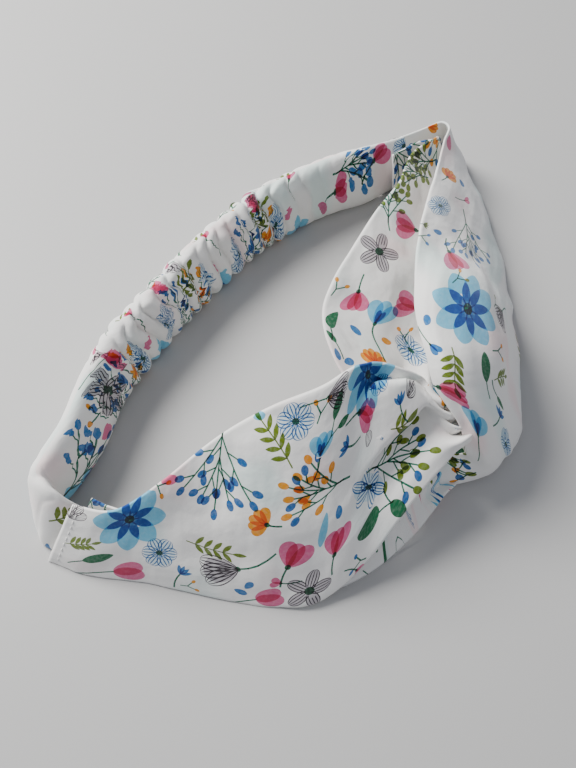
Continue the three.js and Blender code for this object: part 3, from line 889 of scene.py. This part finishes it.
# %% The flowers that show on the right strip, its outer layer and then its inner one
right_flowers = [
    (petal("pink", 8, 4), 312, 2, 160, 1.0), (amber_flower(), 288, 6, 25, 1.0),
    (lined_flower(), 271, 6, 66, 1.0), (petal(), 291, 13, 129, 1.0), (petal(), 257, 6, 101, 1.0),
    (tulip(), 247, 13, 168, 1.1), (branch("mid", None, 1.05), 272, 20, 163, 1.0),
    (twin_berries(), 236, 15, 58, 0.9), (star_flower(), 226, 17, 10, 1.0),
    (sprig(4, 13), 213, 9, -174, 0.95), (single_leaf(10, 4), 203, 21, 0, 1.0),
    (drop_flower(), 186, 7, 17, 0.9), (fan_flower(), 229, 41, -120, 0.9),
    (twin_berries(), 214, 29, 95, 1.0), (sprig(3, 9), 204, 25, 73, 0.85), (thistle(), 193, 22, 45, 1.0),
    (lined_flower(), 186, 26, 80, 0.85), (tulip(), 200, 2, 119, 1.0),
    (twin_berries("mid"), 251, 3, 100, 1.0), (bud("mid"), 213, 3, 136, 1.0),
    (twin_berries("olive"), 231, 36, 74, 1.0), (thistle("olive"), 258, 1, 90, 0.8),
    (petal("mid"), 219, 3, 20, 0.9), (single_leaf(4, 2.4), 199, 25, 160, 1.0),
    (bud(), 281, 18, 60, 1.0), (branch("olive", None, 0.6), 43, 28, 84, 1.0),
    (branch("olive", None, 0.55), 33, 22, 60, 1.0), (branch("olive", None, 0.75), 70, 47, -178, 1.0),
    (tulip(), 69, 35, 92, 1.15), (open_flower(), 83, 51, -108, 1.0),
    (twin_berries(), 99, 63, -155, 1.0), (tulip(), 100, 56, -6, 1.0), (tulip(), 101, 33, 95, 1.15),
    (single_leaf(7.5, 4), 116, 62, -160, 1.0), (single_leaf(4, 2.4), 121, 63, 160, 1.0),
    (drop_flower(), 111, 46, -171, 1.1), (petal(), 113, 54, -47, 1.0),
    (amber_flower(), 125, 50, 180, 1.0), (lined_flower(), 117, 33, 0, 1.0),
    (twin_berries(), 111, 34, 170, 1.0), (petal("amber"), 116, 40, 90, 0.9),
    (petal(), 123, 64, -4, 0.9), (petal(), 127, 62, -110, 1.0), (twin_berries(), 167, 4, 180, 1.1),
    (twin_berries(), 166, 9, 190, 1.1), (petal(), 170, 2, 100, 0.7),
]

# %% The flowers that show on the casing's smooth ends
casing_flowers = [
    (open_flower(), 64, 35, -33, 1.0), (twin_berries(), 54, 36, 124, 1.0),
    (branch("mid", None, 0.85), 31, 31, -6, 1.0), (petal("pink", 6, 3.4), 50, 31, -14, 1.0),
    (petal("pink", 6, 3.4), 38, 27, -10, 1.0), (sprig(3, 9), 16, 10, -141, 0.8),
    (petal("mid", 7, 3), 15, 16, 100, 1.0), (tulip(), 324, 37, 29, 1.0),
    (branch("mid", None, 0.6), 308, 37, 12, 1.0), (lined_flower(), 338, 38, 0, 0.9),
    (petal("pink", 6, 4), 297, 32, -41, 1.0), (tulip(), 306, 33, 5, 0.8),
    (half_tulip(), 74, 40, -27, 0.9), (half_tulip(), 143, 39, 117, 0.9),
    (half_tulip(), 240, 38, 60, 0.9),
]

# %% Give each face the strokes that reach it
LAYERS = 6  # most strokes that one face can hold
NOWHERE = 9.0  # outside every outline
INK_SLOTS = 16  # equal steps of the inks' colour ramp, with room to spare
WIDEST_FACE = 4  # mm on the flat cloth; larger faces are left plain
MARGIN = 3  # mm searched beyond a stroke's own ends


def print_cloth(piece, strokes):
    mesh = piece.data
    uv = np.empty(len(mesh.loops) * 2, np.float32)
    mesh.uv_layers["cloth"].data.foreach_get("uv", uv)
    uv = uv.reshape(-1, 2).astype(float)
    start = np.empty(len(mesh.polygons), int)
    total = np.empty(len(mesh.polygons), int)
    mesh.polygons.foreach_get("loop_start", start)
    mesh.polygons.foreach_get("loop_total", total)
    quads = np.nonzero(total == 4)[0]
    corners = start[quads][:, None] + np.arange(4)[None, :]
    flat = uv[corners]
    centre = flat.mean(axis=1)
    reach = np.linalg.norm(flat - centre[:, None], axis=2).max(axis=1)
    good = reach < WIDEST_FACE
    order = np.argsort(centre[:, 0])
    sorted_u = centre[order, 0]
    held = np.zeros(len(quads), int)
    places = np.full((LAYERS, len(mesh.loops), 3), NOWHERE, np.float32)
    shapes = np.zeros((LAYERS, len(mesh.polygons), 3), np.float32)
    missed = 0
    for x, y, turn, half_l, half_w, power, swell, ink in strokes:
        lo, hi = np.searchsorted(sorted_u, [x - half_l - MARGIN, x + half_l + MARGIN])
        near = order[lo:hi]
        near = near[good[near]]
        a = np.radians(turn)
        d = centre[near] - (x, y)
        px, py = d[:, 0] * np.cos(a) + d[:, 1] * np.sin(a), d[:, 1] * np.cos(a) - d[:, 0] * np.sin(a)
        swollen = half_w * (1 + abs(swell))
        hit = near[(np.abs(px) < half_l + reach[near]) & (np.abs(py) < swollen + reach[near])]
        missed += int((held[hit] >= LAYERS).sum())
        hit = hit[held[hit] < LAYERS]
        layer = held[hit]
        held[hit] += 1
        d = flat[hit] - (x, y)
        px = (d[..., 0] * np.cos(a) + d[..., 1] * np.sin(a)) / half_l
        py = (d[..., 1] * np.cos(a) - d[..., 0] * np.sin(a)) / half_w
        places[layer[:, None], corners[hit], 0] = px
        places[layer[:, None], corners[hit], 1] = py
        places[layer[:, None], corners[hit], 2] = half_w
        shapes[layer, quads[hit], 0] = power
        shapes[layer, quads[hit], 1] = swell
        shapes[layer, quads[hit], 2] = (ink + 0.5) / INK_SLOTS
    for k in range(LAYERS):
        at_corner = mesh.attributes.new(f"stroke_{k}", "FLOAT_VECTOR", "CORNER")
        at_corner.data.foreach_set("vector", places[k].ravel())
        on_face = mesh.attributes.new(f"outline_{k}", "FLOAT_VECTOR", "FACE")
        on_face.data.foreach_set("vector", shapes[k].ravel())
    print(piece.name, len(strokes), "strokes,", missed, "faces too crowded for one more")


print_cloth(left_strip, laid_out(left_flowers) + repeats(
    310, 150, 5, -8, lambda x, y: y > 72 or (125 < x and not 175 < x < 205)))
print_cloth(right_strip, laid_out(right_flowers) + repeats(
    360, 150, 40, 3, lambda x, y: y > 72 or x < 25 or 134 < x < 156 or x > 318))
print_cloth(casing, laid_out(casing_flowers) + repeats(
    400, 48, 20, 6, lambda x, y: 80 < x < 288 or 8 < y < 24 < x < 288))


# %% [markdown]
# ## Materials
#
# The cotton is a Principled surface with a soft sheen. Its colour starts off-white, gets faint
# tints where the print on the back shows through, and is multiplied by each stroke's ink, so
# that overlapping petals go darker as translucent inks do.

# %% Helpers for wiring nodes
def new_material(name, **sockets):
    material = bpy.data.materials.new(name)
    material.use_nodes = True
    shader = material.node_tree.nodes["Principled BSDF"]
    for socket, value in sockets.items():
        shader.inputs[socket.replace("_", " ")].default_value = value
    return material, shader


def wiring(tree):
    """A function that adds a node: its type, its input values or links, and its settings."""
    def add(kind, *values, out=0, **settings):
        node = tree.nodes.new("ShaderNode" + kind)
        for name, value in settings.items():
            setattr(node, name, value)
        for i, value in enumerate(values):
            if value is None:
                continue
            if isinstance(value, bpy.types.NodeSocket):
                tree.links.new(value, node.inputs[i])
            else:
                node.inputs[i].default_value = value
        return node.outputs[out]
    return add


def math(add, operation, *values):
    return add("Math", *values, operation=operation)


def multiplied(add, colour, ink, amount):
    return add("Mix", amount, None, None, None, None, None, colour, ink,
               out=2, data_type="RGBA", blend_type="MULTIPLY")


def set_ramp(socket, stops, interpolation="LINEAR"):
    ramp = socket.node.color_ramp
    ramp.interpolation = interpolation
    while len(ramp.elements) > 1:
        ramp.elements.remove(ramp.elements[-1])
    ramp.elements[0].position, ramp.elements[0].color = stops[0]
    for position, colour in stops[1:]:
        ramp.elements.new(position).color = colour
    return socket


# %% The printed cotton
RIM = 0.34  # mm, the drawn edge of a lined petal
RAY_PACE, RAY_CUT = 13.5, 0.45  # how close and how thick its rays are
WEAVE = 15.7  # radians per mm, which makes two and a half threads a millimetre


def printed_cotton():
    material, shader = new_material("printed_cotton", Roughness=0.82, Sheen_Weight=0.25,
                                    Sheen_Roughness=0.5, Specular_IOR_Level=0.25)
    tree = material.node_tree
    add = wiring(tree)
    cloth = add("UVMap", uv_map="cloth")
    tint = add("TexNoise", cloth, None, 0.035, 1.0, out=0)
    colour = set_ramp(add("ValToRGB", tint), [
        (0.30, (0.93, 0.78, 0.76, 1)), (0.40, (0.92, 0.90, 0.865, 1)), (0.56, (0.92, 0.91, 0.875, 1)),
        (0.68, (0.76, 0.86, 0.82, 1))])
    wash = add("TexNoise", cloth, None, 0.9, 3.0, out=0)
    wash = math(add, "MULTIPLY_ADD", wash, 0.35, 0.80)
    ink_stops = [(k / INK_SLOTS, (*INKS[name], 1)) for k, name in enumerate(INK_NAMES)]
    for k in range(LAYERS):
        place = add("SeparateXYZ", add("Attribute", attribute_name=f"stroke_{k}", out=1)).node
        shape = add("SeparateXYZ", add("Attribute", attribute_name=f"outline_{k}", out=1)).node
        x, y, size = place.outputs
        power, swell, ink = shape.outputs
        y = math(add, "ABSOLUTE", y)
        inside = math(add, "MULTIPLY_ADD", math(add, "MULTIPLY", x, -1.0), x, 1.0)
        inside = math(add, "MAXIMUM", inside, 0.0)
        swollen = math(add, "MULTIPLY_ADD", x, swell, 1.0)
        half = math(add, "MULTIPLY", math(add, "POWER", inside, power), swollen)
        room = math(add, "SUBTRACT", half, y)
        filled = math(add, "GREATER_THAN", room, 0.0)
        rim = math(add, "LESS_THAN", math(add, "MULTIPLY", room, size), RIM)
        rays = math(add, "DIVIDE", y, math(add, "ADD", half, 0.01))
        rays = math(add, "COSINE", math(add, "MULTIPLY", rays, RAY_PACE))
        rays = math(add, "GREATER_THAN", rays, RAY_CUT)
        lined = math(add, "GREATER_THAN", ink, FIRST_LINED / INK_SLOTS)
        drawn = math(add, "MAXIMUM", math(add, "MAXIMUM", rim, rays), math(add, "SUBTRACT", 1.0, lined))
        amount = math(add, "MULTIPLY", math(add, "MULTIPLY", filled, drawn), wash)
        colour = multiplied(add, colour, set_ramp(add("ValToRGB", ink), ink_stops, "CONSTANT"), amount)
    tree.links.new(colour, shader.inputs["Base Color"])
    threads = add("SeparateXYZ", cloth).node
    warp = math(add, "SINE", math(add, "MULTIPLY", threads.outputs[0], WEAVE))
    weft = math(add, "SINE", math(add, "MULTIPLY", threads.outputs[1], WEAVE))
    weave = math(add, "MULTIPLY", warp, weft)
    crease = add("TexNoise", cloth, None, 0.16, 4.0, 0.55, out=0)
    height = math(add, "MULTIPLY_ADD", weave, 0.02, math(add, "MULTIPLY", crease, 0.9))
    bump = add("Bump", 0.35, 0.001, None, height)
    tree.links.new(bump, shader.inputs["Normal"])
    return material


# %% Thread and elastic
def spun_thread():
    material, shader = new_material("white_thread", Base_Color=(0.90, 0.89, 0.86, 1), Roughness=0.6,
                                    Sheen_Weight=0.2)
    tree = material.node_tree
    add = wiring(tree)
    run = add("SeparateXYZ", add("UVMap", uv_map="cloth")).node.outputs
    twist = math(add, "SINE", math(add, "MULTIPLY_ADD", run[0], 14.0, math(add, "MULTIPLY", run[1], 3.14)))
    tree.links.new(add("Bump", 0.4, 0.0002, None, twist), shader.inputs["Normal"])
    return material


def ribbed_elastic():
    material, shader = new_material("white_elastic", Base_Color=(0.86, 0.86, 0.84, 1), Roughness=0.55,
                                    Sheen_Weight=0.15)
    tree = material.node_tree
    add = wiring(tree)
    run = add("SeparateXYZ", add("UVMap", uv_map="cloth")).node.outputs
    ribs = math(add, "SINE", math(add, "MULTIPLY", run[1], 4.7))
    picks = math(add, "SINE", math(add, "MULTIPLY", run[0], 7.0))
    height = math(add, "MULTIPLY_ADD", picks, 0.4, ribs)
    tree.links.new(add("Bump", 0.6, 0.0004, None, height), shader.inputs["Normal"])
    return material


cotton, thread, rubber = printed_cotton(), spun_thread(), ribbed_elastic()
for piece, material, slot_name, node in (
    (left_strip, cotton, "printed_cotton", "left_strip"),
    (right_strip, cotton, "printed_cotton", "right_strip"),
    (casing, cotton, "printed_cotton", "elastic_casing"),
    (elastic, rubber, "white_elastic", "elastic"),
    (left_seam, thread, "white_thread", "left_strip_seam"),
    (right_seam, thread, "white_thread", "right_strip_seam"),
    (casing_seam, thread, "white_thread", "casing_seam"),
    (left_join, thread, "white_thread", "left_join_stitching"),
    (right_join, thread, "white_thread", "right_join_stitching"),
    (left_tack, thread, "white_thread", "left_elastic_tack"),
    (right_tack, thread, "white_thread", "right_elastic_tack"),
):
    piece.data.materials.append(material)
    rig.slot(piece, slot_name)
    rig.replaces(piece, node)

# %% [markdown]
# ## What moves with what
#
# Opening the loop swings the left strip about the knot. Its arm follows the left half and the
# cloth inside the knot stays with the right one, so the strip blends between the two over the
# first few centimetres. The casing and what is in it bend all the way round the nape.

# %% Bodies and blends
for piece in (left_strip, left_seam):
    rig.blend(piece, "right_half", "left_half", start=placed((46, -28, 13)), end=placed((0, -46, 13)))
for piece in (right_strip, right_seam, right_join, right_tack):
    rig.ride(piece, "right_half")
for piece in (left_join, left_tack):
    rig.ride(piece, "left_half")
for piece in (casing, elastic, casing_seam):
    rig.blend(piece, "right_half", "left_half", start=placed((20, 80, 12)), end=placed((-70, -52, 12)))

# %% [markdown]
# ## Floor, light and camera

# %% The stage
def area_light(name, place, aim, size, power, colour=(1, 1, 1)):
    data = bpy.data.lights.new(name, "AREA")
    data.shape, data.size, data.energy, data.color = "DISK", size, power, colour
    lamp = bpy.data.objects.new(name, data)
    lamp.location = placed(place)
    lamp.rotation_euler = (Vector(placed(aim)) - lamp.location).to_track_quat("-Z", "Y").to_euler()
    bpy.context.scene.collection.objects.link(lamp)
    return lamp


bm = bmesh.new()
bmesh.ops.create_grid(bm, x_segments=1, y_segments=1, size=1.5)
floor_mesh = bpy.data.meshes.new("floor")
bm.to_mesh(floor_mesh)
bm.free()
floor = bpy.data.objects.new("floor", floor_mesh)
bpy.context.scene.collection.objects.link(floor)
pale, _ = new_material("pale_table", Base_Color=(0.50, 0.495, 0.485, 1), Roughness=0.55,
                       Specular_IOR_Level=0.3)
floor_mesh.materials.append(pale)
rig.stage(floor)

world = bpy.data.worlds.new("studio")
world.use_nodes = True
world.node_tree.nodes["Background"].inputs["Color"].default_value = (0.86, 0.90, 1.0, 1)
world.node_tree.nodes["Background"].inputs["Strength"].default_value = 0.46
bpy.context.scene.world = world
area_light("window", (-520, 380, 620), (0, 0, 0), 0.45, 16, (1.0, 0.99, 0.97))

camera_data = bpy.data.cameras.new("camera")
camera_data.sensor_width = 36
camera_data.sensor_fit = "AUTO"
camera_data.lens = 32.8
camera_data.clip_start = 0.01
camera = bpy.data.objects.new("camera", camera_data)
camera.location = placed((0, -103.5, 222.0))
camera.rotation_euler = (np.radians(25), 0, 0)
bpy.context.scene.collection.objects.link(camera)
bpy.context.scene.camera = camera

def pressed_sheet(skins):
    """Width and length of a strip pressed flat, in metres, and its area."""
    _, _, u, v = skins
    middle = u[:, u.shape[1] // 2]
    area = float(np.trapz(v[:, -1], middle)) * MM**2
    print("pressed flat 66 x", round(float(middle[-1])), "mm", round(area, 4), "m2")
    return {"flat": (0.066, float(middle[-1]) * MM), "area": area}


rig.sheet(left_strip, held="folded", rests_on=["right_strip_cloth"], **pressed_sheet(left_skins))
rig.sheet(right_strip, held="folded", rests_on=["left_strip_cloth"], **pressed_sheet(right_skins))
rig.sheet(casing, flat=(0.022, 0.38), held="gathered", rests_on=["elastic"])
look_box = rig.bounds()
sizes = {"cad": [list(c) for c in cad_box], "visual": [list(c) for c in look_box]}
with open("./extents.json", "w") as file:
    json.dump(sizes, file)
